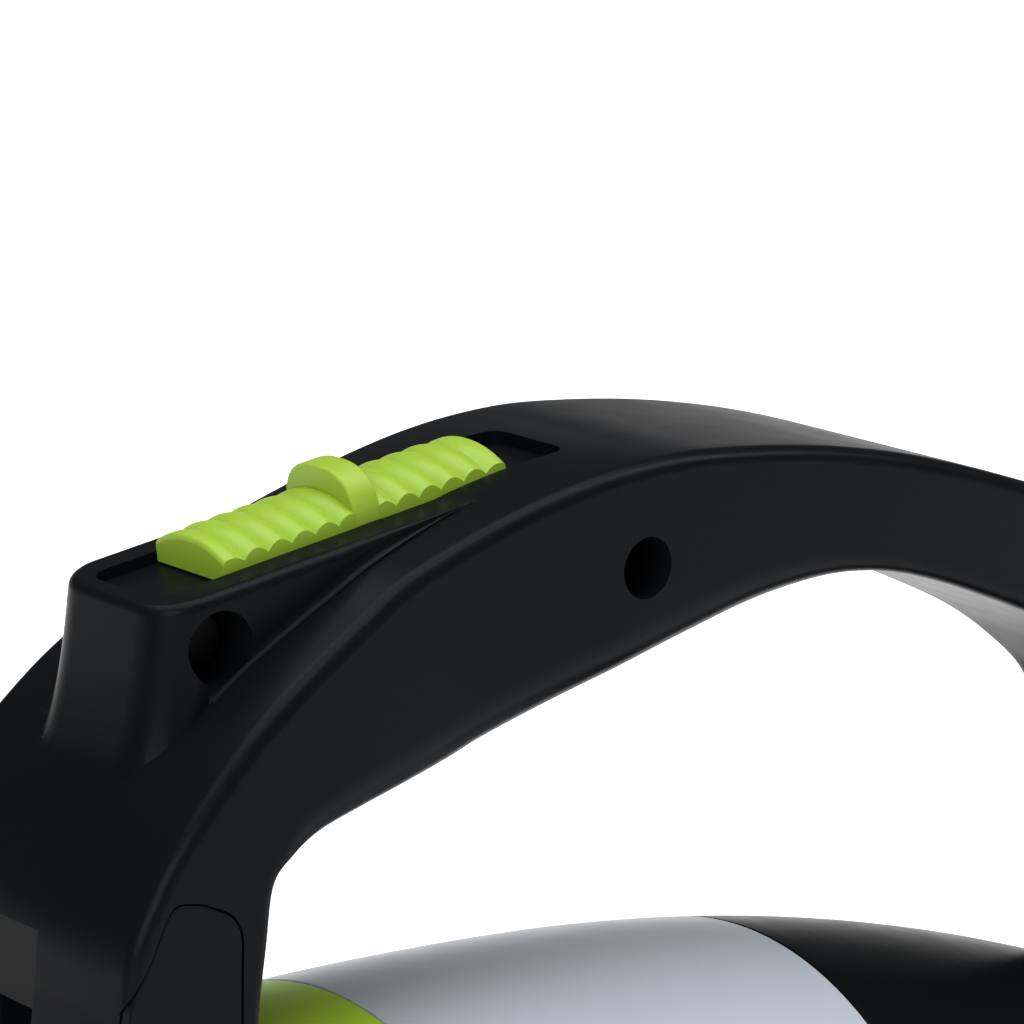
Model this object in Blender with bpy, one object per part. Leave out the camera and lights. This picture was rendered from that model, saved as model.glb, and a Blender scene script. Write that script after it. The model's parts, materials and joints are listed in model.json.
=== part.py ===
"""Cordless snow shovel: auger head, folding shaft, arch handle and battery.

Lengths are in millimetres and become metres when a mesh is made.
+X points to the rear of the tool and +Z up; pieces named left are on the +Y side.
The tool lies on the floor, on its two skids and on the foot of the handle.
"""
import math

import bmesh
import bpy
from mathutils import Matrix, Vector

for old in list(bpy.data.objects):
    bpy.data.objects.remove(old, do_unlink=True)

MM = 0.001

# ---- driving dimensions -------------------------------------------------------
CLEAR = 0.3                    # gap left between neighbouring pieces
HANDLE_X = 371.7               # world x of the handle's datum
HANDLE_Z = 200.0               # world z of the handle's datum
SHAFT_TILT = math.radians(6)   # the shaft falls towards the rear by this much
SHAFT_DROP = 122.0             # shaft axis below the handle's datum
PIVOT_REACH = 769.5            # head pivot in front of the datum, along the shaft

GRIP_HALF = 22.4               # half the width of the arch
WALL = 3.0                     # moulded wall thickness
BOSS_HALF = 14.0               # half the width of the switch boss
BOSS_TILT = math.radians(7.3)  # rise of the switch boss towards the rear
BOSS_AT = (-40.0, 10.6)        # middle of the boss top, from the datum
POCKET_DEPTH = 1.8
POCKET_HALF_LENGTH = 37.0
SLIDER_LENGTH = 51.0
SLIDER_HALF = 8.0
SLIDER_TRAVEL = 8.0
FIN_TOP = 7.3                  # fin above the boss top
SCREW_HOLE_R = 4.6
SCREW_AT = ((-70.5, -1.2, -5.0), (0.0, 0.0, -10.4))   # x, z and depth of each seat

BARREL_R = 57.0                # at the thickest place, BARREL_CREST
BARREL_CREST = 2.0
RING_FRONT = -67.0
RING_REAR = -46.5
SLEEVE_REAR = 36.0
TAIL_REAR = 127.0
TUBE_R = 14.0
TUBE_WALL = 1.6

LEG_REAR_X = 168.0             # back face of the rear leg, from the datum
BATTERY_DEPTH = 70.0
BATTERY_HALF = 39.0
BATTERY_LOW = -172.0
BATTERY_HIGH = -52.0

ROTOR_AT = (-518.0, 97.0)      # rotor axis, world x and z
ROTOR_R = 84.0
HOOD_R = 96.0
HOOD_WALL = 3.0
HOOD_HALF = 150.0
PLATE_WALL = 5.0
MOTOR_AT = (-492.0, 232.0)     # motor axis, world x and z
MOTOR_R = 26.0
BELT_Y = -165.0                # middle plane of the belt drive
DRIVE_R = 12.0
DRIVEN_R = 36.0


# ---- building helpers ---------------------------------------------------------
def node(name, mesh_bm, colour, metallic=0.0, rough=0.5):
    """Turn a bmesh in millimetres into a named object with its own material."""
    bmesh.ops.recalc_face_normals(mesh_bm, faces=mesh_bm.faces)
    mesh = bpy.data.meshes.new(name)
    bmesh.ops.scale(mesh_bm, vec=(MM, MM, MM), verts=mesh_bm.verts)
    mesh_bm.to_mesh(mesh)
    mesh_bm.free()
    obj = bpy.data.objects.new(name, mesh)
    bpy.context.scene.collection.objects.link(obj)
    material = bpy.data.materials.new(name + "_finish")
    material.use_nodes = True
    shader = material.node_tree.nodes["Principled BSDF"]
    shader.inputs["Base Color"].default_value = (*colour, 1.0)
    shader.inputs["Metallic"].default_value = metallic
    shader.inputs["Roughness"].default_value = rough
    mesh.materials.append(material)
    return obj


def tool(name, mesh_bm):
    """A hidden cutter or addition used by a Boolean."""
    obj = node(name, mesh_bm, (0.5, 0.5, 0.5))
    obj.hide_render = True
    obj.display_type = "WIRE"
    return obj


def combine(target, other, operation):
    """Cut, add or intersect one solid with another."""
    modifier = target.modifiers.new(other.name, "BOOLEAN")
    modifier.object = other
    modifier.operation = operation
    modifier.solver = "EXACT"


def cut(target, *cutters):
    for cutter in cutters:
        combine(target, cutter, "DIFFERENCE")


def loft(loops):
    """Closed solid through loops of equal point count, capped at both ends."""
    bm = bmesh.new()
    rings = [[bm.verts.new(point) for point in loop] for loop in loops]
    count = len(rings[0])
    for low, high in zip(rings, rings[1:]):
        for i in range(count):
            j = (i + 1) % count
            bm.faces.new((low[i], low[j], high[j], high[i]))
    bm.faces.new(rings[0])
    bm.faces.new(list(reversed(rings[-1])))
    return bm


def prism(outline, y_low, y_high):
    """Outline of (x, z) points, extruded along Y."""
    return loft([[(x, y, z) for x, z in outline] for y in (y_low, y_high)])


def turned(profile, steps=32):
    """Solid of revolution about X from a closed profile of (x, r) points."""
    bm = bmesh.new()
    rings = []
    for x, r in profile:
        if r < 1e-6:
            rings.append([bm.verts.new((x, 0, 0))])
            continue
        turns = (math.tau * k / steps for k in range(steps))
        rings.append([bm.verts.new((x, r * math.cos(t), r * math.sin(t))) for t in turns])
    for ring, after in zip(rings, rings[1:] + rings[:1]):
        bridge(bm, ring, after, steps)
    return bm


def bridge(bm, ring, after, steps):
    """Faces between two turned rings, either of which may be a pole."""
    if len(ring) == 1 and len(after) == 1:
        return
    for k in range(steps):
        n = (k + 1) % steps
        corners = [ring[k % len(ring)], after[k % len(after)],
                   after[n % len(after)], ring[n % len(ring)]]
        bm.faces.new(list(dict.fromkeys(corners)))


def rod(x_low, x_high, r, steps=24):
    return turned([(x_low, 0), (x_low, r), (x_high, r), (x_high, 0)], steps)


def pipe(x_low, x_high, r_out, r_in, steps=32):
    return turned([(x_low, r_in), (x_low, r_out), (x_high, r_out), (x_high, r_in)], steps)


def block(low, high):
    """Axis-aligned box between two corners."""
    outline = [(low[0], low[2]), (high[0], low[2]), (high[0], high[2]), (low[0], high[2])]
    return prism(outline, low[1], high[1])


def rounded(low, high, r, steps=4):
    """Outline of a rectangle with rounded corners, as (x, z) points."""
    centres = ((high[0] - r, high[1] - r), (low[0] + r, high[1] - r),
               (low[0] + r, low[1] + r), (high[0] - r, low[1] + r))
    points = []
    for quarter, (cx, cz) in enumerate(centres):
        for k in range(steps + 1):
            turn = math.pi / 2 * (quarter + k / steps)
            points.append((cx + r * math.cos(turn), cz + r * math.sin(turn)))
    return points


def arc(centre, r, start, end, steps):
    """Points on an arc, with angles in degrees from +X towards +Z."""
    turns = [math.radians(start + (end - start) * k / steps) for k in range(steps + 1)]
    return [(centre[0] + r * math.cos(t), centre[1] + r * math.sin(t)) for t in turns]


def spline(points, steps):
    """Smooth open curve through its control points."""
    ends = [points[0]] + list(points) + [points[-1]]
    curve = []
    for a, b, c, d in zip(ends, ends[1:], ends[2:], ends[3:]):
        for k in range(steps):
            t = k / steps
            curve.append(tuple(
                0.5 * (2 * q + (r - p) * t + (2 * p - 5 * q + 4 * r - s) * t ** 2
                       + (3 * q - p - 3 * r + s) * t ** 3)
                for p, q, r, s in zip(a, b, c, d)))
    return curve + [tuple(points[-1])]


def inset(outline, distance):
    """The outline moved inwards, towards its left when it runs counter-clockwise."""
    moved = []
    count = len(outline)
    for i, here in enumerate(outline):
        before, here, after = (Vector(outline[i - 1]), Vector(here),
                               Vector(outline[(i + 1) % count]))
        first, second = (here - before).normalized(), (after - here).normalized()
        normal = Vector((-(first + second).y, (first + second).x)).normalized()
        reach = distance / max(0.4, normal.dot(Vector((-first.y, first.x))))
        moved.append(tuple(here + normal * reach))
    return moved


def placed(bm, matrix):
    bmesh.ops.transform(bm, matrix=matrix, verts=bm.verts)
    return bm


def along_y(bm, x=0.0, z=0.0):
    """A turned solid laid along +Y at world x and z."""
    return placed(bm, Matrix.Translation((x, 0, z)) @ Matrix.Rotation(math.pi / 2, 4, "Z"))


HANDLE = Matrix.Translation((HANDLE_X, 0, HANDLE_Z))
SHAFT = HANDLE @ Matrix.Translation((0, 0, -SHAFT_DROP)) @ Matrix.Rotation(SHAFT_TILT, 4, "Y")
BOSS = (HANDLE @ Matrix.Translation((BOSS_AT[0], 0, BOSS_AT[1]))
        @ Matrix.Rotation(-BOSS_TILT, 4, "Y"))

BLACK = (0.02, 0.021, 0.023)
LIME = (0.35, 0.6, 0.06)
SILVER = (0.42, 0.44, 0.47)
STEEL = (0.6, 0.6, 0.62)
DARK = (0.05, 0.05, 0.055)
RUBBER = (0.03, 0.03, 0.03)
COPPER = (0.7, 0.4, 0.2)
BOARD = (0.03, 0.2, 0.08)


# ---- arch handle --------------------------------------------------------------
def handle_outline():
    """Side view of the arch with its front hub and rear leg, counter-clockwise."""
    top = spline([(168, -62), (163, -45), (150, -30), (124, -16), (100, -7.2), (76, 1.1),
                  (49, 9.7), (25, 14.1), (2, 15.6), (-26, 11.7), (-43, 6.6), (-61, -2.1),
                  (-77, -13.9), (-89.5, -29), (-94, -44)], 2)
    under = spline([(-72, -54), (-69.8, -41), (-62, -32), (-48, -28.8), (-17, -21.2),
                    (12, -15.2), (38, -11.6), (58, -14.4), (82, -21.6), (105, -31.6),
                    (123, -46), (132, -64)], 2)
    hub = [(-94, -58), (-112, -64), (-118, -70), (-118, -150), (-110, -158),
           (-80, -158), (-72, -150)]
    leg = [(132, -176), (122, -190), (122, -200), (168, -200)]
    return top + hub + under + leg


def arch_cavity():
    """Hollow of the arch, from the front leg to the rear leg."""
    top = spline([(160, -70), (148, -38), (124, -22), (76, -4.6), (49, 4), (25, 8.4),
                  (2, 10), (-26, 6), (-43, 0.8), (-61, -8), (-77, -20), (-88, -42)], 2)
    under = spline([(-78, -46), (-66, -27.5), (-48, -23.8), (-17, -16.2), (12, -10.2),
                    (38, -6.6), (58, -9.4), (82, -16.6), (105, -26.6), (129, -44),
                    (138, -66)], 2)
    return top + under + [(138, -170), (160, -170)]


def handle_cavity(side):
    """Cavity cutter with the two screw bosses left standing."""
    y_deep = side * (GRIP_HALF - WALL)
    cavity = tool(f"cavity_{side:+d}", placed(prism(arch_cavity(), -side, y_deep), HANDLE))
    for index, (x, z, _) in enumerate(SCREW_AT):
        post = rod(-GRIP_HALF, GRIP_HALF, SCREW_HOLE_R + WALL, 20)
        cut(cavity, tool(f"post_{side:+d}_{index}", along_y(post, HANDLE_X + x, HANDLE_Z + z)))
    return cavity


def boss_body(side):
    """Half of the raised switch boss."""
    outline = [(-41.5, -26), (-41.5, -1.5), (-40, 0), (19, 0), (36, -3.5), (36, -8)]
    return placed(prism(outline, side * CLEAR / 2, side * BOSS_HALF), BOSS)


def pocket_body():
    """Pocket that the slider runs in, with the slot for its stem."""
    half = POCKET_HALF_LENGTH
    return placed(block((-half, -SLIDER_HALF - CLEAR, -POCKET_DEPTH),
                        (half, SLIDER_HALF + CLEAR, 20)), BOSS)


def stem_slot():
    half = SLIDER_TRAVEL + 6
    return placed(block((-half, -3.3, -20), (half, 3.3, 0)), BOSS)


def handle_shell(name, side):
    """One moulded half of the handle."""
    outline = handle_outline()
    lip = inset(outline, 2.0)
    edges = (side * CLEAR / 2, side * (GRIP_HALF - 2.0), side * GRIP_HALF)
    loops = [[(x, y, z) for x, z in points]
             for y, points in zip(edges, (outline, outline, lip))]
    shell = node(name, placed(loft(loops), HANDLE), BLACK)
    combine(shell, tool(f"boss_{side:+d}", boss_body(side)), "UNION")
    cut(shell, handle_cavity(side))
    cut(shell, tool(f"pocket_{side:+d}", pocket_body()))
    cut(shell, tool(f"stem_slot_{side:+d}", stem_slot()))
    bore = placed(rod(-140, -60, TUBE_R + CLEAR, 32), SHAFT)
    cut(shell, tool(f"tube_bore_{side:+d}", bore))
    seat = placed(prism(insert_outline(), side * (GRIP_HALF - 2.4), side * 40), HANDLE)
    cut(shell, tool(f"insert_seat_{side:+d}", seat))
    for index, (x, z, seat) in enumerate(SCREW_AT):
        at = (HANDLE_X + x, HANDLE_Z + z)
        if side < 0:
            hole = rod(-40, seat, SCREW_HOLE_R, 20)
            cut(shell, tool(f"counterbore_{index}", along_y(hole, *at)))
        through = rod(-40, 11.5, 2.2, 12)
        cut(shell, tool(f"screw_path_{side:+d}_{index}", along_y(through, *at)))
    return shell


def insert_outline():
    """Flush side panel of the front leg."""
    return [(-92.0, -140), (-75.0, -140), (-73.6, -60), (-73.4, -40), (-75.5, -35.6),
            (-80, -32.8), (-83.5, -32.4), (-88, -39), (-91.2, -44), (-92.4, -50)]


def handle_insert(name, side):
    outline = inset(list(reversed(insert_outline())), -0.35)
    outline = list(reversed(outline))
    low, high = side * (GRIP_HALF - 2.1), side * (GRIP_HALF - 0.1)
    return node(name, placed(prism(outline, low, high), HANDLE), DARK)


def handle_screw(name, x, z, seat):
    """Screw seated at the bottom of its counterbore."""
    low, under = seat - 3.3, seat - CLEAR
    profile = [(low, 0), (low, 4.0), (under, 4.0), (under, 1.9), (10.5, 1.9), (10.5, 0)]
    return node(name, along_y(turned(profile, 16), HANDLE_X + x, HANDLE_Z + z), STEEL, 1.0, 0.3)


def switch_slider():
    """Ribbed thumb slider with its central fin and the stem below."""
    half = SLIDER_LENGTH / 2
    base = -POCKET_DEPTH + CLEAR
    rib_pitch, rib_count, fin_half = 4.15, 5, 2.35
    top = []
    for side in (1, -1):
        grooves = [side * (5.2 + rib_pitch * k) for k in range(rib_count)]
        ribs = [(side * half, 2.6)]
        for x in reversed(grooves):
            ribs += [(x, 1.6), (x - side * rib_pitch / 2, 2.8)]
        top += ribs if side > 0 else list(reversed(ribs))
    outline = [(-half, base), (half, base)] + top
    slider = node("switch_slider",
                  placed(prism(outline, -SLIDER_HALF, SLIDER_HALF), BOSS), LIME, 0, 0.35)
    crown = [(SLIDER_HALF * math.cos(t) * 0.98, (FIN_TOP + 1) * math.sin(t) ** 0.8 - 1)
             for t in (math.pi * k / 12 for k in range(13))]
    fin = loft([[(x, y, z) for y, z in crown] for x in (-fin_half, fin_half)])
    combine(slider, tool("slider_fin", placed(fin, BOSS)), "UNION")
    stem = placed(block((-5, -2.6, -15), (5, 2.6, -1)), BOSS)
    combine(slider, tool("slider_stem", stem), "UNION")
    return slider


def switch_module():
    """Microswitch that the slider's stem works."""
    body = node("switch_module", placed(block((-9, -9, -27), (15, 9, -13.5)), BOSS), DARK)
    slot = placed(block((-13, -3.2, -17), (13, 3.2, 0)), BOSS)
    cut(body, tool("switch_slot", slot))
    return body


# ---- barrel under the arch ----------------------------------------------------
def barrel_radius(x):
    """Outer radius of the barrel along its axis: it narrows faster to the rear."""
    bend = 0.00134 if x > BARREL_CREST else 0.0007
    return BARREL_R - bend * (x - BARREL_CREST) ** 2


def band(low, high, steps):
    """Outside of the barrel from low to high, as (x, r) points."""
    stations = [low + (high - low) * k / steps for k in range(steps + 1)]
    return [(x, barrel_radius(x)) for x in stations]


def shell_band(low, high, steps, wall):
    """Ring or sleeve of even wall that follows the outside of the barrel."""
    outer = band(low, high, steps)
    return turned(outer + [(x, r - wall) for x, r in reversed(outer)], 48)


def barrel():
    """Front cap, coloured collar, silver sleeve and domed tail."""
    cap = [(RING_FRONT + 1, TUBE_R + CLEAR), (RING_FRONT + 1, 49.5), (RING_FRONT + 7, 49.5),
           (RING_FRONT + 7, 24), (RING_FRONT + 16, 24), (RING_FRONT + 16, TUBE_R + CLEAR)]
    node("barrel_front_cap", placed(turned(cap), SHAFT), BLACK)
    ring = shell_band(RING_FRONT, RING_REAR, 3, WALL)
    node("collar_ring", placed(ring, SHAFT), LIME)
    sleeve = shell_band(RING_REAR + CLEAR, SLEEVE_REAR, 8, WALL)
    node("barrel_sleeve", placed(sleeve, SHAFT), SILVER)
    outer = band(SLEEVE_REAR + CLEAR, TAIL_REAR, 8)
    inner = [(x, r - WALL) for x, r in reversed(outer[:-1])]
    end_r = barrel_radius(TAIL_REAR)
    rear_wall = [(TAIL_REAR, 0), (TAIL_REAR - WALL, 0), (TAIL_REAR - WALL, end_r - WALL)]
    tail = turned(outer + rear_wall + inner, 40)
    node("barrel_tail", placed(tail, SHAFT), BLACK)


def electronics():
    """Controller board with its cooling block, inside the sleeve."""
    node("controller_board", placed(block((-30, -40, -1), (36, 40, 0.8)), SHAFT), BOARD)
    fins = [(-20, 1.1), (24, 1.1), (24, 22)]
    for k in range(4):
        x = 20 - 9 * k
        fins += [(x, 22), (x, 7), (x - 5, 7), (x - 5, 22)]
    fins += [(-20, 22)]
    node("heat_sink", placed(prism(fins, -26, 26), SHAFT), STEEL, 1.0, 0.4)
    node("capacitor", placed(rod(-24, 8, 9, 20), SHAFT @ Matrix.Translation((0, 0, -10.4))), DARK)


# ---- shaft --------------------------------------------------------------------
def shaft_tubes():
    """Two tubes joined by a coupler, with the power cable inside them."""
    joint = -430.0
    front = -PIVOT_REACH + 26
    node("lower_tube", placed(pipe(front, joint, TUBE_R, TUBE_R - TUBE_WALL), SHAFT), STEEL, 1.0)
    upper = pipe(joint + CLEAR, RING_FRONT + 12, TUBE_R, TUBE_R - TUBE_WALL)
    node("upper_tube", placed(upper, SHAFT), STEEL, 1.0)
    coupler = [(joint - 45, TUBE_R + CLEAR), (joint - 45, 17.5), (joint - 41, 19.5),
               (joint + 41, 19.5), (joint + 45, 17.5), (joint + 45, TUBE_R + CLEAR)]
    node("tube_coupler", placed(turned(coupler), SHAFT), BLACK)
    node("power_cable", placed(rod(front + 4, RING_FRONT + 14, 3.0, 10), SHAFT), RUBBER)


def knuckle():
    """Fork end of the shaft, which turns on the pivot bolt."""
    body = [(-PIVOT_REACH + 20, -17), (-PIVOT_REACH + 70, -17),
            (-PIVOT_REACH + 70, 17), (-PIVOT_REACH + 20, 17)]
    eye = arc((-PIVOT_REACH, 0), 19, 62, 298, 14)
    solid = placed(prism(body + eye, -17, 17), SHAFT)
    piece = node("pivot_knuckle", solid, BLACK)
    socket = placed(rod(-PIVOT_REACH + 25, -PIVOT_REACH + 90, TUBE_R + CLEAR), SHAFT)
    cut(piece, tool("knuckle_socket", socket))
    bore = placed(along_y(rod(-30, 30, 5 + CLEAR)), SHAFT @ Matrix.Translation((-PIVOT_REACH, 0, 0)))
    cut(piece, tool("knuckle_bore", bore))


AUX_AT = -330.0                # where the front handle clamps the shaft
AUX_LEAN = math.radians(-14)   # it leans forward
AUX = SHAFT @ Matrix.Translation((AUX_AT, 0, 0)) @ Matrix.Rotation(AUX_LEAN, 4, "Y")
AUX_BOLT_Z = 24.0


def clamp_half(name, side):
    """Half of the clamp round the shaft. The upper one carries the handle's bolt."""
    tall = 34.0 if side > 0 else 19.0
    outline = [(-18, side * CLEAR / 2), (18, side * CLEAR / 2), (18, side * (tall - 6)),
               (12, side * tall), (-12, side * tall), (-18, side * (tall - 6))]
    here = SHAFT @ Matrix.Translation((AUX_AT, 0, 0))
    piece = node(name, placed(prism(outline, -23, 23), here), BLACK)
    cut(piece, tool(name + "_bore", placed(rod(-30, 30, TUBE_R + CLEAR, 32), here)))
    if side > 0:
        bolt = along_y(rod(-40, 40, 4 + CLEAR, 16), 0, AUX_BOLT_Z)
        cut(piece, tool(name + "_eye", placed(bolt, here)))


def aux_handle():
    """Loop handle for the front hand, with its soft grip, bolt and knob."""
    here = SHAFT @ Matrix.Translation((AUX_AT, 0, AUX_BOLT_Z))
    loop = (SHAFT @ Matrix.Translation((AUX_AT, 0, AUX_BOLT_Z))
            @ Matrix.Rotation(AUX_LEAN, 4, "Y"))
    y_in, y_out, height = 46.0, 58.0, 128.0
    outer = [(24.0, -11.0), (44, -11), (50, 6), (y_out, 30), (y_out, height - 22),
             (y_out - 7, height - 7), (y_out - 22, height)]
    inner = [(24.0, 11.0), (36, 13), (y_in, 36), (y_in, height - 26),
             (y_in - 5, height - 19), (y_in - 12, height - 16)]
    ring = outer + [(-y, z) for y, z in reversed(outer)]
    ring += [(-y, z) for y, z in inner] + list(reversed(inner))
    loops = [[(x, y, z) for y, z in ring] for x in (-9, 9)]
    piece = node("aux_handle", placed(loft(loops), loop), BLACK)
    foot_gap = block((-12, -23 - CLEAR, -14), (12, 23 + CLEAR, 14))
    cut(piece, tool("aux_foot_gap", placed(foot_gap, loop)))
    cut(piece, tool("aux_eye", placed(along_y(rod(-60, 60, 4 + CLEAR, 16)), here)))
    grip = node("aux_grip", placed(along_y(rod(-33, 33, 15, 20), 0, height - 8), loop), RUBBER)
    cut(grip, tool("grip_core", placed(block((-9 - CLEAR, -60, height - 16 - CLEAR),
                                             (9 + CLEAR, 60, height + CLEAR)), loop)))
    bolt = [(-57, 0), (-57, 7), (-53, 7), (-53, 4), (66, 4), (66, 0)]
    node("aux_bolt", placed(along_y(turned(bolt, 16)), here), STEEL, 1.0, 0.3)
    node("aux_knob", placed(along_y(star_knob(53, 69, 17, 4 + CLEAR)), here), BLACK)


def star_knob(x_low, x_high, r, bore):
    """Lobed knob with a bore along X."""
    lobes, steps = 6, 36
    rings = []
    for x, radius, waves in ((x_low, bore, 0), (x_low, r * 0.6, 0), (x_low + 4, r, 1),
                             (x_high - 2, r, 1), (x_high, r * 0.85, 1), (x_high, bore, 0)):
        ring = []
        for k in range(steps):
            turn = math.tau * k / steps
            reach = radius * (1 - 0.12 * waves * (1 + math.cos(lobes * turn)) / 2)
            ring.append((x, reach * math.cos(turn), reach * math.sin(turn)))
        rings.append(ring)
    bm = bmesh.new()
    rings = [[bm.verts.new(point) for point in ring] for ring in rings]
    for ring, after in zip(rings, rings[1:] + rings[:1]):
        bridge(bm, ring, after, steps)
    return bm


# ---- rear leg: dock and battery -------------------------------------------------
def battery():
    """Dock rail on the rear leg and the pack that slides up off it."""
    back = LEG_REAR_X + CLEAR
    stem = block((back, -15, -160), (back + 4, 15, -66))
    dock = node("battery_dock", placed(stem, HANDLE), BLACK)
    flange = placed(block((back + 3, -23, -160), (back + 8, 23, -66)), HANDLE)
    combine(dock, tool("dock_flange", flange), "UNION")
    seat = placed(block((back + 4, -14, -180), (back + 20, 14, -96)), HANDLE)
    cut(dock, tool("terminal_seat", seat))
    contacts = [(back + 4.3, -159), (back + 7.5, -159), (back + 7.5, -98), (back + 4.3, -98)]
    node("dock_terminals", placed(prism(contacts, -13.5, 13.5), HANDLE), COPPER, 1.0, 0.3)
    split = back + 34
    far = back + BATTERY_DEPTH
    low, high = (back + CLEAR, BATTERY_LOW), (far, BATTERY_HIGH)
    outline = rounded(low, high, 9, 3)
    case = battery_body("battery_case", outline)
    neck = placed(block((back - 5, -15.6, BATTERY_LOW - 9), (back + 3, 15.6, -64)), HANDLE)
    wide = placed(block((back + 2.4, -23.6, BATTERY_LOW - 9), (back + 8.6, 23.6, -64)), HANDLE)
    cut(case, tool("rail_neck", neck), tool("rail_flange", wide))
    cover = battery_body("battery_cover", outline)
    rear = placed(block((split, -60, -220), (far + 20, 60, 0)), HANDLE)
    front = placed(block((back - 20, -60, -220), (split + CLEAR, 60, 0)), HANDLE)
    cut(case, tool("battery_rear", rear))
    cut(cover, tool("battery_front", front))
    hollow = placed(prism(rounded((back + 12, BATTERY_LOW + 4), (far - 4, BATTERY_HIGH - 16), 5, 2),
                          4 - BATTERY_HALF, BATTERY_HALF - 4), HANDLE)
    for piece in (case, cover):
        cut(piece, tool(piece.name + "_hollow", hollow.copy()))
    hollow.free()
    nest = placed(block((far - 18, -13, BATTERY_HIGH - 12), (far + 9, 13, BATTERY_HIGH + 9)), HANDLE)
    cut(cover, tool("latch_nest", nest))
    latch = rounded((far - 13, BATTERY_HIGH - 11.5), (far - 1, BATTERY_HIGH - 2), 2.5, 2)
    node("battery_latch", placed(prism(latch, -12.5, 12.5), HANDLE), LIME)
    battery_cells(back, far)


def battery_body(name, outline):
    """Rounded block that both halves of the pack are cut from."""
    soft = inset(outline, 5.0)
    sides = ((-BATTERY_HALF, soft), (5 - BATTERY_HALF, outline),
             (BATTERY_HALF - 5, outline), (BATTERY_HALF, soft))
    loops = [[(x, y, z) for x, z in points] for y, points in sides]
    return node(name, placed(loft(loops), HANDLE), DARK if name == "battery_case" else BLACK)


def battery_cells(back, far):
    """Ten cells lying across the pack, as one block with scalloped sides."""
    cell, rows = 19.0, 5
    x_mid, z_low = (back + 13 + far - 5) / 2, BATTERY_LOW + 4.5
    right, left = [], []
    for k in range(rows):
        z = z_low + cell * (k + 0.5)
        right += arc((x_mid + cell / 2, z), cell / 2, -75, 75, 4)
        left += arc((x_mid - cell / 2, z), cell / 2, 255, 105, 4)
    outline = right + list(reversed(left))
    node("battery_cells", placed(prism(outline, -33, 33), HANDLE), COPPER, 0.2)


# ---- auger head -----------------------------------------------------------------
def hood():
    """Curved hood over the rotor, with its two side plates."""
    outer = arc(ROTOR_AT, HOOD_R + HOOD_WALL, -58, 118, 22)
    inner = arc(ROTOR_AT, HOOD_R, 118, -58, 22)
    node("auger_hood", prism(outer + inner, -HOOD_HALF, HOOD_HALF), LIME, 0, 0.35)
    for name, side in (("side_plate_left", 1), ("side_plate_right", -1)):
        rim = arc(ROTOR_AT, HOOD_R + HOOD_WALL + 5, -40, 118, 16)
        nose = [(ROTOR_AT[0] - 92, ROTOR_AT[1] + 40), (ROTOR_AT[0] - 92, 24),
                (ROTOR_AT[0] - 80, 12), (ROTOR_AT[0] + 66, 12)]
        low = side * (HOOD_HALF + CLEAR)
        plate = node(name, prism(rim + nose, low, low + side * PLATE_WALL), BLACK)
        bore = along_y(rod(-200, 200, 13 + CLEAR), *ROTOR_AT)
        cut(plate, tool(name + "_bearing_seat", bore))
        if side < 0:
            cut(plate, tool("motor_shaft_path", along_y(rod(-200, -100, 7), *MOTOR_AT)))


def skids_and_scraper():
    """Steel wear parts that the head stands on."""
    x_low, x_high = ROTOR_AT[0] - 70, ROTOR_AT[0] + 62
    outline = [(x_low + 4, 0), (x_high, 0), (x_high, 44), (x_low + 12, 44), (x_low + 12, 16),
               (x_low - 12, 34), (x_low - 16, 31)]
    for name, side in (("skid_left", 1), ("skid_right", -1)):
        low = side * (HOOD_HALF + PLATE_WALL + 2 * CLEAR)
        high = low + side * 4
        skid = node(name, prism(outline, low, high), STEEL, 1.0, 0.4)
        toe = [(x_low + 4, 0), (x_high, 0), (x_high, 4), (x_low + 8, 4),
               (x_low - 12, 34), (x_low - 16, 31)]
        sole = prism(toe, low + side * 2, side * 176)
        combine(skid, tool(name + "_sole", sole), "UNION")
    edge = arc(ROTOR_AT, HOOD_R + HOOD_WALL + CLEAR, -58, -30, 4)
    back = arc(ROTOR_AT, HOOD_R + HOOD_WALL + 4, -30, -50, 3)
    bar = edge + back + [(ROTOR_AT[0] + 66, 10), (ROTOR_AT[0] + 50, 4), (ROTOR_AT[0] + 44, 5)]
    node("scraper_bar", prism(bar, -HOOD_HALF + 1, HOOD_HALF - 1), STEEL, 1.0, 0.35)


def bearings():
    for name, side in (("bearing_left", 1), ("bearing_right", -1)):
        low = HOOD_HALF - 4
        profile = [(low, 6 + CLEAR), (low, 16), (low + 4, 16), (low + 4, 13), (low + 10, 13),
                   (low + 10, 6 + CLEAR)]
        ring = turned([(side * x, r) for x, r in profile], 24)
        node(name, along_y(ring, *ROTOR_AT), STEEL, 1.0, 0.3)


def rotor():
    """Shaft, core, two end discs and two helical paddles."""
    node("rotor_shaft", along_y(rod(-172, 159, 6), *ROTOR_AT), STEEL, 1.0, 0.3)
    node("rotor_core", along_y(pipe(-134, 134, 22, 6 + CLEAR, 24), *ROTOR_AT), BLACK)
    for name, side in (("rotor_disc_left", 1), ("rotor_disc_right", -1)):
        profile = [(side * x, r) for x, r in ((134.6, 6 + CLEAR), (134.6, 70), (138.6, 70),
                                              (138.6, 14), (142.6, 14), (142.6, 6 + CLEAR))]
        node(name, along_y(turned(profile, 32), *ROTOR_AT), BLACK)
    for name, start in (("rotor_paddle_a", 20.0), ("rotor_paddle_b", 200.0)):
        node(name, placed(paddle(start), Matrix.Translation((ROTOR_AT[0], 0, ROTOR_AT[1]))),
             RUBBER)


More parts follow.
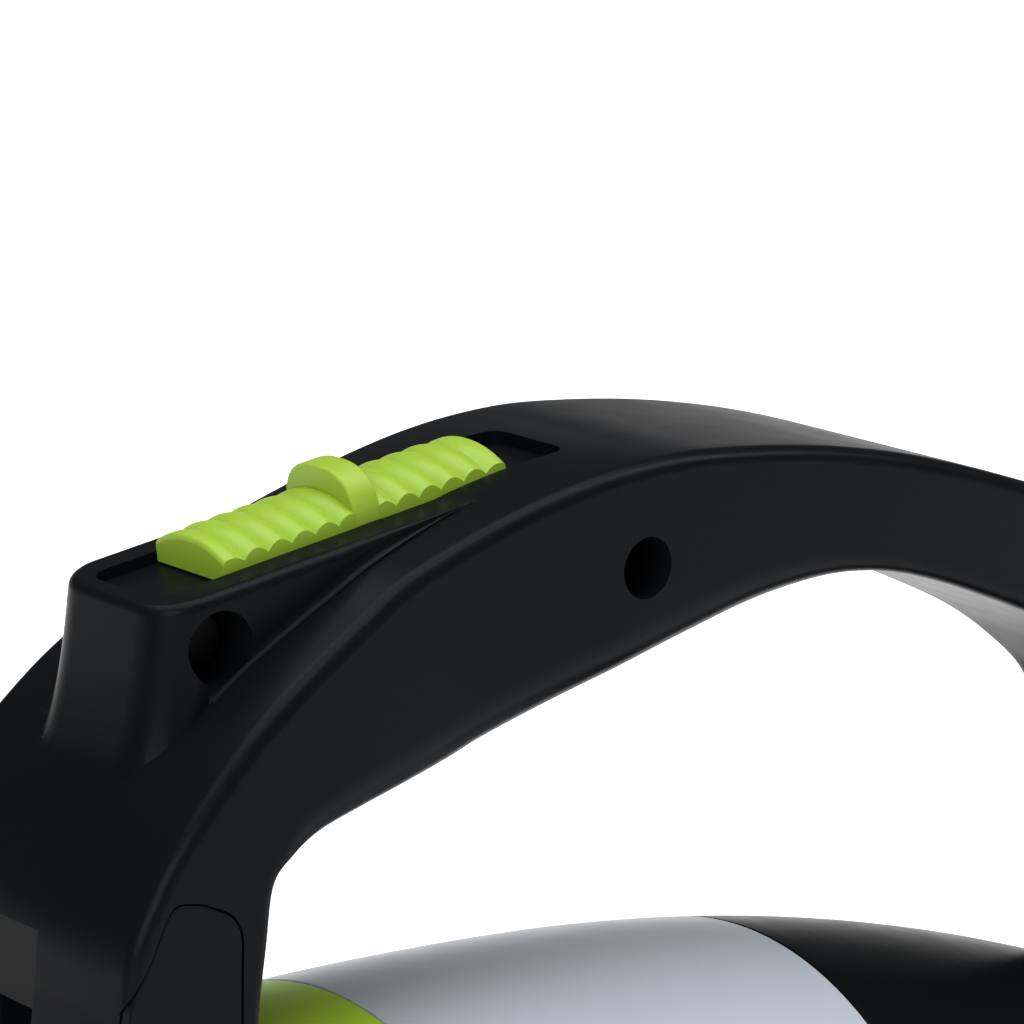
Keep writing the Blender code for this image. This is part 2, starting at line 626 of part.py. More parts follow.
def paddle(start):
    """Curved blade swept along the rotor, with a chevron twist to the middle."""
    half, slices, twist = 134.0, 8, 34.0
    blade = ((22.4, 0, 5), (40, 6, 4), (62, 16, 3.4), (ROTOR_R, 30, 2.4))
    loops = []
    for k in range(slices + 1):
        y = half * (2 * k / slices - 1)
        lean = start + twist * (1 - abs(y) / half)
        face, rear = [], []
        for r, sweep, thick in blade:
            turn = math.radians(lean + sweep)
            spread = thick / r / 2
            face.append((r * math.cos(turn - spread), y, r * math.sin(turn - spread)))
            rear.append((r * math.cos(turn + spread), y, r * math.sin(turn + spread)))
        loops.append(face + list(reversed(rear)))
    return loft(loops)


def belt_drive():
    """Motor, its pulley, the rotor's pulley, the belt and their covers."""
    node("motor_can", along_y(rod(-128, -30, MOTOR_R), *MOTOR_AT), STEEL, 1.0, 0.4)
    node("motor_shaft", along_y(rod(-172, -128 - CLEAR, 4, 16), *MOTOR_AT), STEEL, 1.0, 0.3)
    for name, at, r, bore in (("drive_pulley", MOTOR_AT, DRIVE_R, 4),
                              ("driven_pulley", ROTOR_AT, DRIVEN_R, 6)):
        profile = [(BELT_Y - 5, bore + 0.1), (BELT_Y - 5, r + 2), (BELT_Y - 4, r + 2),
                   (BELT_Y - 4, r), (BELT_Y + 4, r), (BELT_Y + 4, r + 2),
                   (BELT_Y + 5, r + 2), (BELT_Y + 5, bore + 0.1)]
        node(name, along_y(turned(profile, 32), *at), DARK)
    belt_outer = belt_loop(DRIVE_R + CLEAR + 2, DRIVEN_R + CLEAR + 2)
    belt = node("drive_belt", prism(belt_outer, BELT_Y - 3.6, BELT_Y + 3.6), RUBBER)
    cut(belt, tool("belt_inside", prism(belt_loop(DRIVE_R + CLEAR, DRIVEN_R + CLEAR),
                                        BELT_Y - 9, BELT_Y + 9)))
    cover_low, cover_high = BELT_Y - 11, -(HOOD_HALF + PLATE_WALL + 2 * CLEAR)
    cover = node("belt_cover", prism(belt_loop(26, 48), cover_low, cover_high), SILVER)
    room = prism(belt_loop(23, 45), cover_low + 3, cover_high + 9)
    cut(cover, tool("belt_room", room))


def belt_loop(r_drive, r_driven):
    """Outline of a belt round both pulleys, counter-clockwise."""
    run = Vector(MOTOR_AT) - Vector(ROTOR_AT)
    heading = math.degrees(math.atan2(run.y, run.x))
    wrap = math.degrees(math.acos((r_driven - r_drive) / run.length))
    small = arc(MOTOR_AT, r_drive, heading - wrap, heading + wrap, 12)
    large = arc(ROTOR_AT, r_driven, heading + wrap, heading + 360 - wrap, 20)
    return small + large


def motor_cover():
    """Housing over the motor, standing on the hood."""
    def outline(grow):
        crown = arc(MOTOR_AT, MOTOR_R + 7 + grow, -10, 190, 14)
        rest = arc(ROTOR_AT, HOOD_R + HOOD_WALL + CLEAR - max(0, -grow) * 6, 104, 42, 10)
        return crown + rest
    y_low, y_high = -HOOD_HALF + 2, 100
    piece = node("motor_cover", prism(outline(0), y_low, y_high), SILVER, 0.2, 0.4)
    cut(piece, tool("motor_room", prism(outline(-3), y_low - 9, y_high - 4)))


def pivot():
    """Two ears on the hood and the bolt and knob that hold the shaft."""
    at = SHAFT @ Vector((-PIVOT_REACH, 0, 0))
    for name, side in (("pivot_ear_left", 1), ("pivot_ear_right", -1)):
        eye = arc((at.x, at.z), 20, -70, 110, 10)
        foot = arc(ROTOR_AT, HOOD_R + HOOD_WALL + CLEAR, 42, 6, 8)
        low = side * 17.8
        ear = node(name, prism(eye + foot, low, low + side * 8), BLACK)
        cut(ear, tool(name + "_bore", along_y(rod(-40, 40, 5 + CLEAR), at.x, at.z)))
    bolt = [(-32, 0), (-32, 8), (-26.4, 8), (-26.4, 5), (44, 5), (44, 0)]
    node("pivot_bolt", along_y(turned(bolt, 24), at.x, at.z), STEEL, 1.0, 0.3)
    node("pivot_knob", along_y(star_knob(26.8, 48, 22, 5 + CLEAR), at.x, at.z), BLACK)


handle_shell("handle_shell_left", 1)
handle_shell("handle_shell_right", -1)
handle_insert("handle_insert_left", 1)
handle_insert("handle_insert_right", -1)
handle_screw("handle_screw_front", *SCREW_AT[0])
handle_screw("handle_screw_rear", *SCREW_AT[1])
switch_slider()
switch_module()
barrel()
electronics()
shaft_tubes()
knuckle()
clamp_half("aux_clamp_upper", 1)
clamp_half("aux_clamp_lower", -1)
aux_handle()
battery()
hood()
skids_and_scraper()
bearings()
rotor()
belt_drive()
motor_cover()
pivot()
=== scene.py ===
"""Looks of the cordless snow shovel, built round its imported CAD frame.

Lengths are in millimetres and become metres when a mesh is made. The datum is
the handle's own: the rear screw, on the middle plane of the arch.
"""
import json
import math

import bmesh
import bpy
from mathutils import Matrix, Vector

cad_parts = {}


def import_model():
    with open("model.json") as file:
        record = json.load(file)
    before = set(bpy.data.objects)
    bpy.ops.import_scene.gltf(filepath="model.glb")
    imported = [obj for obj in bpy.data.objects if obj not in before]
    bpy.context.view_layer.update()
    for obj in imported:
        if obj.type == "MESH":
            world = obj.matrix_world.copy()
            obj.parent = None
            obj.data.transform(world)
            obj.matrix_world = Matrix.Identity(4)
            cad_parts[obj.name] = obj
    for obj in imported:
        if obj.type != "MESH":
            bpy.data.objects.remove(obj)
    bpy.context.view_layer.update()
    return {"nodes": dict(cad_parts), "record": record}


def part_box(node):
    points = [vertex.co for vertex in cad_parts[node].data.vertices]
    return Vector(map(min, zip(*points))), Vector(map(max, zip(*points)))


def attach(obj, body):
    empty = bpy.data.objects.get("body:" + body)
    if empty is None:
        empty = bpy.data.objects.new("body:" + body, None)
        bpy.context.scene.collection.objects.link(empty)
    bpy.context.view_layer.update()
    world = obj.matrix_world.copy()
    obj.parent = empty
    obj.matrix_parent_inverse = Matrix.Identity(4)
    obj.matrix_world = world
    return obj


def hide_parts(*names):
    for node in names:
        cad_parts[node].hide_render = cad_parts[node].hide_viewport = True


MM = 0.001

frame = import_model()

# ---- driving dimensions ---------------------------------------------------------
# The places and axes are the CAD's. The shapes of the arch, the boss, its pocket
# and the first screw hole are finer than the CAD's, and differ from it a little.
LEG_BACK = 168.0               # back face of the rear leg behind the datum
DATUM_HEIGHT = 200.0
SHAFT_TILT = math.radians(6)
SHAFT_DROP = 122.0             # shaft axis below the datum
SOCKET = (-150.0, -57.0, 14.4)  # hole for the upper tube: start, end and radius

BOSS_TILT = math.radians(7.3)
BOSS_AT = (-40.0, 10.6)        # middle of the boss top, from the datum
BOSS_HALF = 14.0
BOSS_FRONT = -79.6
BOSS_REAR = -11.0
RIM_R = 1.7                    # rounding of the boss's upper rim
ROOT_R = 1.2                   # hollow rounding where the boss grows out of the arch

POCKET_DEPTH = 1.7
POCKET_HALF = (37.0, 8.35)
POCKET_CORNER_R = 2.6
STEM_SLOT_HALF = (14.0, 3.0)
STEM_SLOT_DEPTH = 16.0
SCREWS = ((-70.4, -1.0, 5.3, -14.5, -5.0),      # x, z, hole radius, start and end
          (0.0, 0.0, 4.6, -40.0, -10.4))

LEG_HALF = 28.2                # half width of the front leg
PANEL_GAP = 0.28               # groove round the side panel
PANEL_SEAT = 2.2               # depth of the panel's seat
PANEL_CORNER_R = 1.6
CROWN_RISE = 1.5               # the front of the arch is this much higher in the middle
CROWN_END = 4.0                # the crown is gone here, and whole CROWN_RUN further forward
CROWN_RUN = 30.0

SLIDER_HALF = (25.5, 8.0)
SLIDER_GAP = 0.3               # between the slider and the floor of its pocket
FIN_HALF = 2.35
FIN_TOP = 7.6
FIN_POWER = 2.6                # squareness of the fin's outline; 2 is an ellipse

BARREL_R = 57.0                # at the thickest place, BARREL_CREST
BARREL_CREST = 2.0
BARREL_BEND_REAR = 0.00134     # loss of radius per square millimetre of distance
BARREL_BEND_FRONT = 0.0007
RING = (-67.0, -46.6)          # lime collar, along the shaft
SLEEVE = (-46.2, 36.0)
TAIL = (36.3, 127.0)

CAMERA_AT = (-417.9, -491.5, 168.2)     # from the datum
CAMERA_AZIMUTH = math.radians(39.9)
CAMERA_ELEVATION = math.radians(14.28)
CAMERA_LENS = 157.8

datum_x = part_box("handle_shell_right")[1].x / MM - LEG_BACK
HANDLE = Matrix.Translation((datum_x, 0, DATUM_HEIGHT))
SHAFT = HANDLE @ Matrix.Translation((0, 0, -SHAFT_DROP)) @ Matrix.Rotation(SHAFT_TILT, 4, "Y")
BOSS = (HANDLE @ Matrix.Translation((BOSS_AT[0], 0, BOSS_AT[1]))
        @ Matrix.Rotation(-BOSS_TILT, 4, "Y"))


# ---- mesh helpers --------------------------------------------------------------
def loft(loops, strips=False):
    """Closed solid through loops of equal point count.

    With strips, each end is closed by a row of quads between the two mirrored
    halves of its loop, which holds where the end isn't flat.
    """
    bm = bmesh.new()
    rings = [[bm.verts.new(point) for point in loop] for loop in loops]
    count = len(rings[0])
    for low, high in zip(rings, rings[1:]):
        for i in range(count):
            j = (i + 1) % count
            bm.faces.new((low[i], low[j], high[j], high[i]))
    for ring in (rings[0], rings[-1]):
        if strips:
            for i in range(count // 2 - 1):
                bm.faces.new((ring[i], ring[i + 1], ring[count - 2 - i], ring[count - 1 - i]))
        else:
            bm.faces.new(ring)
    bmesh.ops.recalc_face_normals(bm, faces=bm.faces)
    return bm


def prism(outline, low, high):
    """Outline of (x, z) points, extruded along Y."""
    return loft([[(x, y, z) for x, z in outline] for y in (low, high)])


def slab(outline, low, high):
    """Outline of (x, y) points, extruded along Z."""
    return loft([[(x, y, z) for x, y in outline] for z in (low, high)])


def turned(profile, steps=96):
    """Solid of revolution about X from a closed profile of (x, r) points."""
    bm = bmesh.new()
    rings = []
    for x, r in profile:
        turns = [math.tau * k / steps for k in range(steps)] if r > 1e-6 else [0]
        rings.append([bm.verts.new((x, r * math.cos(t), r * math.sin(t))) for t in turns])
    for ring, after in zip(rings, rings[1:] + rings[:1]):
        if len(ring) == 1 and len(after) == 1:
            continue
        for k in range(steps):
            n = (k + 1) % steps
            corners = [ring[k % len(ring)], after[k % len(after)],
                       after[n % len(after)], ring[n % len(ring)]]
            bm.faces.new(list(dict.fromkeys(corners)))
    bmesh.ops.recalc_face_normals(bm, faces=bm.faces)
    return bm


def rod(low, high, r, steps=48):
    return turned([(low, 0), (low, r), (high, r), (high, 0)], steps)


def rounded(low, high, r, steps=8):
    """Outline of a rectangle with rounded corners."""
    centres = ((high[0] - r, high[1] - r), (low[0] + r, high[1] - r),
               (low[0] + r, low[1] + r), (high[0] - r, low[1] + r))
    points = []
    for quarter, (a, b) in enumerate(centres):
        for k in range(steps + 1):
            turn = math.pi / 2 * (quarter + k / steps)
            points.append((a + r * math.cos(turn), b + r * math.sin(turn)))
    return points


def spline(points, steps):
    """Smooth open curve through control points of any dimension."""
    ends = [points[0]] + list(points) + [points[-1]]
    curve = []
    for a, b, c, d in zip(ends, ends[1:], ends[2:], ends[3:]):
        for k in range(steps):
            t = k / steps
            curve.append(tuple(
                0.5 * (2 * q + (r - p) * t + (2 * p - 5 * q + 4 * r - s) * t ** 2
                       + (3 * q - p - 3 * r + s) * t ** 3)
                for p, q, r, s in zip(a, b, c, d)))
    return curve + [tuple(points[-1])]


def soften(profile, r, steps=3, keep_axis=True):
    """A closed profile with each corner turned into a short curve of reach r.

    With keep_axis, points on the axis of a turned profile stay as they are.
    """
    points = []
    count = len(profile)
    for i, here in enumerate(profile):
        before, here, after = (Vector(profile[i - 1]), Vector(here),
                               Vector(profile[(i + 1) % count]))
        if keep_axis and here.y < 1e-6:
            points.append(tuple(here))
            continue
        start = here + (before - here).normalized() * min(r, (before - here).length / 2.1)
        end = here + (after - here).normalized() * min(r, (after - here).length / 2.1)
        for k in range(steps + 1):
            t = k / steps
            point = start * (1 - t) ** 2 + here * 2 * t * (1 - t) + end * t ** 2
            points.append(tuple(point))
    return points


def along_y(bm, x=0.0, z=0.0):
    bmesh.ops.transform(bm, verts=bm.verts, matrix=(
        Matrix.Translation((x, 0, z)) @ Matrix.Rotation(math.pi / 2, 4, "Z")))
    return bm


def to_object(name, bm, matrix=Matrix.Identity(4)):
    """An object in metres from a bmesh in millimetres."""
    bmesh.ops.transform(bm, matrix=Matrix.Scale(MM, 4) @ matrix, verts=bm.verts)
    mesh = bpy.data.meshes.new(name)
    bm.to_mesh(mesh)
    bm.free()
    obj = bpy.data.objects.new(name, mesh)
    bpy.context.scene.collection.objects.link(obj)
    return obj


def apply_modifiers(obj):
    """Bake the modifier stack into the mesh."""
    depsgraph = bpy.context.evaluated_depsgraph_get()
    baked = bpy.data.meshes.new_from_object(obj.evaluated_get(depsgraph))
    obj.modifiers.clear()
    obj.data = baked


def combine(target, bm, operation, matrix=Matrix.Identity(4)):
    """Cut, add or intersect with a solid given in millimetres, and bake the result."""
    other = to_object("tool", bm, matrix)
    modifier = target.modifiers.new("combine", "BOOLEAN")
    modifier.object = other
    modifier.operation = operation
    modifier.solver = "EXACT"
    apply_modifiers(target)
    bpy.data.objects.remove(other)


def bevel(obj, width, angle=35, segments=4):
    modifier = obj.modifiers.new("edge", "BEVEL")
    modifier.width = width * MM
    modifier.segments = segments
    modifier.limit_method = "ANGLE"
    modifier.angle_limit = math.radians(angle)
    modifier.use_clamp_overlap = True


def smooth(obj, angle=32):
    """Smooth shading that keeps real edges and flat faces crisp."""
    obj.data.shade_smooth()
    obj.data.set_sharp_from_angle(angle=math.radians(angle))
    weighted = obj.modifiers.new("weighted", "WEIGHTED_NORMAL")
    weighted.keep_sharp = True


def finish_piece(obj, body, slot, material, *nodes, angle=32):
    """Shade a piece, give it its material, and tie it to its body and CAD nodes."""
    smooth(obj, angle)
    obj.data.materials.clear()
    obj.data.materials.append(material)
    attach(obj, body)
    if nodes:
        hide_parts(*nodes)
    return obj


# ---- materials -------------------------------------------------------------------
def new_material(name):
    material = bpy.data.materials.new(name)
    material.use_nodes = True
    tree = material.node_tree
    shader = tree.nodes["Principled BSDF"]
    coords = tree.nodes.new("ShaderNodeTexCoord").outputs["Object"]
    return material, tree, shader, coords


def noise(tree, coords, size, detail=3.0):
    """Noise whose features are about this many millimetres across."""
    node = tree.nodes.new("ShaderNodeTexNoise")
    node.inputs["Scale"].default_value = 1 / (size * MM)
    node.inputs["Detail"].default_value = detail
    tree.links.new(coords, node.inputs["Vector"])
    return node.outputs["Fac"]


def ranged(tree, value, low, high):
    node = tree.nodes.new("ShaderNodeMapRange")
    node.inputs["To Min"].default_value = low
    node.inputs["To Max"].default_value = high
    tree.links.new(value, node.inputs["Value"])
    return node.outputs["Result"]


def tinted(tree, value, dark, light):
    """Colour that wanders between two shades."""
    node = tree.nodes.new("ShaderNodeMix")
    node.data_type = "RGBA"
    node.inputs["A"].default_value = (*dark, 1)
    node.inputs["B"].default_value = (*light, 1)
    tree.links.new(value, node.inputs["Factor"])
    return node.outputs["Result"]


def bumped(tree, shader, height, depth):
    node = tree.nodes.new("ShaderNodeBump")
    node.inputs["Distance"].default_value = depth * MM
    node.inputs["Strength"].default_value = 1.0
    tree.links.new(height, node.inputs["Height"])
    tree.links.new(node.outputs["Normal"], shader.inputs["Normal"])


def moulded(name, colour, rough, grain=0.5, depth=0.01, specular=0.5, wander=0.12):
    """Injection moulded plastic: fine grain, faint flow marks, slight colour drift."""
    material, tree, shader, coords = new_material(name)
    dark = [c * (1 - wander) for c in colour]
    light = [c * (1 + wander) for c in colour]
    drift = noise(tree, coords, 38, 4)
    tree.links.new(tinted(tree, drift, dark, light), shader.inputs["Base Color"])
    sheen = ranged(tree, noise(tree, coords, 6), rough - 0.05, rough + 0.05)
    tree.links.new(sheen, shader.inputs["Roughness"])
    shader.inputs["Specular IOR Level"].default_value = specular
    bumped(tree, shader, noise(tree, coords, grain, 2), depth)
    return material


def metal(name, colour, rough, stretch=(1, 1, 1), grain=0.6, depth=0.006):
    """Metal with fine drawn or brushed lines along one direction."""
    material, tree, shader, coords = new_material(name)
    mapping = tree.nodes.new("ShaderNodeMapping")
    mapping.inputs["Scale"].default_value = stretch
    tree.links.new(coords, mapping.inputs["Vector"])
    lines = noise(tree, mapping.outputs["Vector"], grain, 4)
    shader.inputs["Metallic"].default_value = 1.0
    dark = [c * 0.8 for c in colour]
    tree.links.new(tinted(tree, lines, dark, colour), shader.inputs["Base Color"])
    tree.links.new(ranged(tree, lines, rough - 0.08, rough + 0.1), shader.inputs["Roughness"])
    bumped(tree, shader, lines, depth)
    return material


BLACK = moulded("black_plastic", (0.0036, 0.0041, 0.0049), 0.3, 0.45, 0.004, 0.045)
DARK = moulded("dark_plastic", (0.012, 0.013, 0.014), 0.46, 0.4, 0.008, 0.25)
LIME = moulded("lime_plastic", (0.235, 0.375, 0.027), 0.38, 0.7, 0.004, 0.25, 0.03)
# Lighter copy of the lime plastic for the collar: its extra brightness is painted light, not a
# different plastic.
LIME_PAINTED_BRIGHTER = moulded("lime_painted_brighter", (0.36, 0.57, 0.03), 0.38, 0.7, 0.004, 0.2, 0.03)
SILVER = moulded("silver_plastic", (0.44, 0.475, 0.53), 0.32, 0.25, 0.003, 0.45, 0.03)
RUBBER = moulded("soft_rubber", (0.012, 0.012, 0.012), 0.7, 0.35, 0.03, 0.3)
STEEL = metal("plated_steel", (0.55, 0.56, 0.58), 0.32)
ALLOY = metal("anodised_tube", (0.5, 0.51, 0.53), 0.34, (1, 9, 9))
BLACKED = metal("blackened_steel", (0.02, 0.02, 0.021), 0.4)
IRON = metal("motor_iron", (0.3, 0.3, 0.31), 0.45)
COPPER = metal("copper", (0.72, 0.42, 0.24), 0.3)
BOARD = moulded("solder_mask", (0.02, 0.14, 0.05), 0.4, 1.2, 0.02)
CELL = moulded("cell_wrap", (0.03, 0.12, 0.35), 0.35, 2, 0.004)


# ---- handle ----------------------------------------------------------------------
# outer point, inner point, lower corner radius and half width, front to rear
ARCH_STATIONS = (
    (-118, -150, -75.5, -150, 3, 27.5), (-118, -112, -75.5, -110, 3, 28),
    (-117, -84, -75.5, -86, 3, 28.2), (-111, -68, -75.5, -73, 2.5, 28.2),
    (-100, -57, -75, -60.5, 2, 28.2), (-97.2, -47, -74.5, -50, 2, 28.2),
    (-96, -37, -73, -39.5, 2, 28.2), (-91.9, -28.8, -71.2, -31.4, 2.5, 28),
    (-86.5, -21.6, -66.8, -28.6, 4.5, 27.8), (-78.6, -14.0, -60.2, -27.5, 8, 27.1),
    (-70.7, -7.9, -52, -26.3, 9, 26.3), (-61.3, -2.5, -44, -25.2, 9, 25.1),
    (-52.1, 2.1, -35, -23.7, 9, 23.8), (-43, 6.4, -27, -21.9, 9, 22.9),
    (-25.8, 11.5, -14, -19.0, 8.5, 22.4), (-9.4, 14.7, -2, -16.4, 8, 22.4),
    (6, 15.7, 11, -13.3, 7.5, 22.4), (20, 14.7, 25, -10.2, 6.5, 22.4),
    (36, 12.4, 38, -8.6, 4.5, 22.4), (52, 8.9, 49, -9.4, 3, 22.4),
    (67, 4.5, 61, -12.9, 3, 22.4), (84, -1.4, 77, -19.5, 3.5, 22.4),
    (103, -8.0, 91.5, -26.2, 4, 22.4), (120, -14.2, 104.3, -32.8, 4, 22.4),
    (135, -21, 114.7, -40, 4, 22.4), (148, -30, 123.7, -48.4, 4, 22.4),
    (159, -42, 129.5, -60, 4, 22.4), (166, -58, 132, -76, 3, 22.4),
    (168, -80, 132, -96, 3, 22.4), (168, -120, 132, -128, 3, 22.4),
    (168, -160, 132, -162, 3, 22.4), (168, -178, 130, -180, 3, 22.4),
    (168, -200, 122, -200, 3, 22.4))


def crown_rise(x):
    """Rise of the crown on the middle plane, which fades out to the rear."""
    return CROWN_RISE * max(0.0, min(1.0, (CROWN_END - x) / CROWN_RUN))


def arch_section(x_top, z_top, x_low, z_low, low_r, half, top_r=2.5, steps=7):
    """Rounded section of the handle, in the plane of its outer and inner points."""
    reach = math.hypot(x_top - x_low, z_top - z_low)
    crown = crown_rise(x_top)
    outline = []
    corners = ((1, 1, top_r), (-1, 1, top_r), (-1, 0, low_r), (1, 0, low_r))
    for quarter, (side, upper, r) in enumerate(corners):
        centre_y = side * (half - r)
        centre_h = reach - r if upper else r
        for k in range(steps + 1):
            turn = math.pi / 2 * (quarter + k / steps)
            y = centre_y + r * math.cos(turn)
            share = (centre_h + r * math.sin(turn)) / reach
            outline.append((share, y))
        if upper and side > 0:
            outline += [(1.0, centre_y * (1 - k / 6)) for k in range(1, 12)]
    section = []
    for share, y in outline:
        if share > 0.999:
            share += crown * (1 - (y / (half - top_r)) ** 2) / reach
        section.append((x_low + (x_top - x_low) * share, y, z_low + (z_top - z_low) * share))
    return section


def arch_height(x, y=0.0):
    """Height of the arch's outer surface above the datum, over the front half."""
    crown = crown_rise(x) * (1 - (y / 23) ** 2)
    tops = [station[:2] for station in spline(ARCH_STATIONS[5:18], 9)]
    for (x0, z0), (x1, z1) in zip(tops, tops[1:]):
        if x <= x1:
            return z0 + (z1 - z0) * max(0.0, x - x0) / (x1 - x0) + crown * 1.2
    return tops[-1][1]


def boss_top(x):
    """Height of the boss: a tilted plane that runs into the arch at its rear."""
    return BOSS_AT[1] + math.tan(BOSS_TILT) * (x - BOSS_AT[0])


def boss_plan(steps=10):
    """Outline of the boss with its outward direction, and points all along its sides."""
    r_front, r_rear = 7.0, 3.0
    outline = []
    for centre_x, r, side in ((BOSS_FRONT + r_front, r_front, 1), (BOSS_REAR - r_rear, r_rear, 1),
                              (BOSS_REAR - r_rear, r_rear, -1), (BOSS_FRONT + r_front, r_front, -1)):
        front = centre_x < -40
        start = {(True, 1): 180, (False, 1): 90, (False, -1): 0, (True, -1): 270}[front, side]
        for k in range(steps + 1):
            turn = math.radians(start - 90 * k / steps)
            way = (math.cos(turn), math.sin(turn))
            outline.append((centre_x + r * way[0], side * (BOSS_HALF - r) + r * way[1], way))
        if front and side == 1 or not front and side == -1:
            low, high = BOSS_FRONT + r_front, BOSS_REAR - r_rear
            spots = [low + (high - low) * k / 26 for k in range(1, 26)]
            if side == -1:
                spots.reverse()
            outline += [(x, side * BOSS_HALF, (0, side)) for x in spots]
    return outline


def boss_solid():
    """Boss that carries the slider, with a rounded rim and a hollow root."""
    columns = []
    for x, y, way in boss_plan():
        forward = max(0.0, -way[0])
        top = boss_top(x)
        gap = max(0.3, top - arch_height(x, y))
        rim = min(RIM_R, 0.45 * gap)
        root = min(ROOT_R * (1 - forward) + 0.05, 0.45 * gap)
        column = []
        for k in range(7):
            turn = math.pi / 2 * k / 6
            column.append((rim * (math.sin(turn) - 1), top - rim * (1 - math.cos(turn))))
        drop = gap - rim - root + 16 * forward
        for k in range(1, 13):
            fall = drop * k / 12
            lean = 0.03 * fall + forward * (0.1 * fall + 0.00022 * fall ** 3)
            column.append((lean, top - rim - fall))
        for k in range(1, 7):
            turn = math.radians(78) * k / 6
            column.append((lean + root * (1 - math.cos(turn)),
                           top - rim - drop - root * math.sin(turn)))
        column.append((column[-1][0] + 0.2 - 4 * forward, column[-1][1] - 3 - 2 * forward))
        columns.append([(x + way[0] * out, y + way[1] * out, z) for out, z in column])
    return loft([list(loop) for loop in zip(*columns)], strips=True)


def insert_outline(grow=0.0):
    """Side panel of the front leg; grow moves the outline outwards."""
    corners = [(-97.1, -142), (-79.7, -142), (-78.5, -60), (-77.9, -36.5), (-79.4, -33.7),
               (-84.2, -31.2), (-88.5, -30.3), (-89.9, -31.7), (-92.9, -37.4),
               (-96.3, -42.8), (-97.2, -47.2)]
    centre = Vector((-83, -85))
    moved = []
    for i, here in enumerate(corners):
        before, here, after = (Vector(corners[i - 1]), Vector(here),
                               Vector(corners[(i + 1) % len(corners)]))
        tangent = ((here - before).normalized() + (after - here).normalized()).normalized()
        outward = Vector((tangent.y, -tangent.x))
        moved.append(tuple(here + outward * grow))
    return soften(moved, PANEL_CORNER_R, 4, keep_axis=False)


def handle_solid():
    """The whole handle as one solid, before it is split into its two shells."""
    loops = [arch_section(*station) for station in spline(ARCH_STATIONS, 9)]
    body = to_object("handle_body", loft(loops), HANDLE)
    combine(body, boss_solid(), "UNION", HANDLE)
    pocket = rounded(tuple(-half for half in POCKET_HALF), POCKET_HALF, POCKET_CORNER_R)
    combine(body, slab(pocket, -POCKET_DEPTH, 12), "DIFFERENCE", BOSS)
    slot = rounded(tuple(-half for half in STEM_SLOT_HALF), STEM_SLOT_HALF, 2.9)
    combine(body, slab(slot, -STEM_SLOT_DEPTH, 2), "DIFFERENCE", BOSS)
    for x, z, r, start, depth in SCREWS:
        combine(body, along_y(rod(start, depth, r), x, z), "DIFFERENCE", HANDLE)
    ledge = slab(rounded((-130, -8), (-95.3, 60), 1), -58, -37.2)
    combine(body, ledge, "DIFFERENCE", HANDLE)
    opening = slab(rounded((-130, -3), (-88, 17), 2), -78, -50.5)
    combine(body, opening, "DIFFERENCE", HANDLE)
    for side in (1, -1):
        seat = prism(insert_outline(PANEL_GAP), side * (LEG_HALF - PANEL_SEAT), side * 40)
        combine(body, seat, "DIFFERENCE", HANDLE)
    combine(body, rod(*SOCKET), "DIFFERENCE", SHAFT)
    return body


def handle():
    """Two black shells with their screw holes, and the side panels of the front leg."""
    body = handle_solid()
    bm = bmesh.new()
    bm.from_mesh(body.data)
    bmesh.ops.remove_doubles(bm, verts=bm.verts, dist=0.02 * MM)
    bmesh.ops.dissolve_degenerate(bm, edges=bm.edges, dist=0.02 * MM)
    bm.to_mesh(body.data)
    bm.free()
    bevel(body, 0.35, 42, 3)
    apply_modifiers(body)
    for name, side in (("handle_shell_left", 1), ("handle_shell_right", -1)):
        bm = bmesh.new()
        bm.from_mesh(body.data)
        cut = bmesh.ops.bisect_plane(
            bm, geom=bm.verts[:] + bm.edges[:] + bm.faces[:], dist=1e-7,
            plane_co=(0, 0, 0), plane_no=(0, -side, 0), clear_outer=True)
        rim = [e for e in cut["geom_cut"] if isinstance(e, bmesh.types.BMEdge)]
        bmesh.ops.holes_fill(bm, edges=rim)
        bmesh.ops.scale(bm, vec=(1 / MM,) * 3, verts=bm.verts)
        shell = to_object(name + "_moulding", bm)
        finish_piece(shell, "shaft", "black_plastic", BLACK, name)
        panel = prism(insert_outline(), side * (LEG_HALF - 2.0), side * (LEG_HALF - 0.05))
        panel = to_object(name.replace("shell", "insert") + "_panel", panel, HANDLE)
        bevel(panel, 0.25, 40, 3)
        finish_piece(panel, "shaft", "dark_plastic", BLACK, name.replace("shell", "insert"))
    bpy.data.objects.remove(body)


# ---- slider ------------------------------------------------------------------------
RIB_PITCH = 4.15
GROOVES = 5                    # on each side of the fin
FIRST_GROOVE = 5.2
LAST_GROOVE = FIRST_GROOVE + (GROOVES - 1) * RIB_PITCH
GROOVE_LEVEL = 0.9             # bottom of a groove at the slider's edge
END_R = 0.9                    # rounding at each end of the slider
CROWN = 2.55                   # rise of the ribs from the edge to the middle


def slider_top(u, v):
    """Height of the slider's thumb face above the boss, in millimetres."""
    edge = abs(v) / SLIDER_HALF[1]
    crown = CROWN * (1 - edge ** 2.2)
    reach = abs(u)
    if reach > LAST_GROOVE:
        share = (reach - LAST_GROOVE) / (SLIDER_HALF[0] - LAST_GROOVE)
        lobe = math.sin(math.pi / 2 * min(1, share * 1.8))
        inside = min(1.0, (SLIDER_HALF[0] - reach) / END_R)
        rolled = END_R * (1 - math.sqrt(1 - (1 - inside) ** 2))
        return GROOVE_LEVEL + crown + (0.55 + 0.35 * edge ** 2) * lobe - rolled
    part = ((reach - FIRST_GROOVE) / RIB_PITCH) % 1.0
    if reach < FIRST_GROOVE:
        part = (reach - FIRST_GROOVE + RIB_PITCH) / RIB_PITCH
    scallop = 1 - (2 * part - 1) ** 2
    return GROOVE_LEVEL + crown + (0.62 + 0.6 * edge ** 2) * scallop


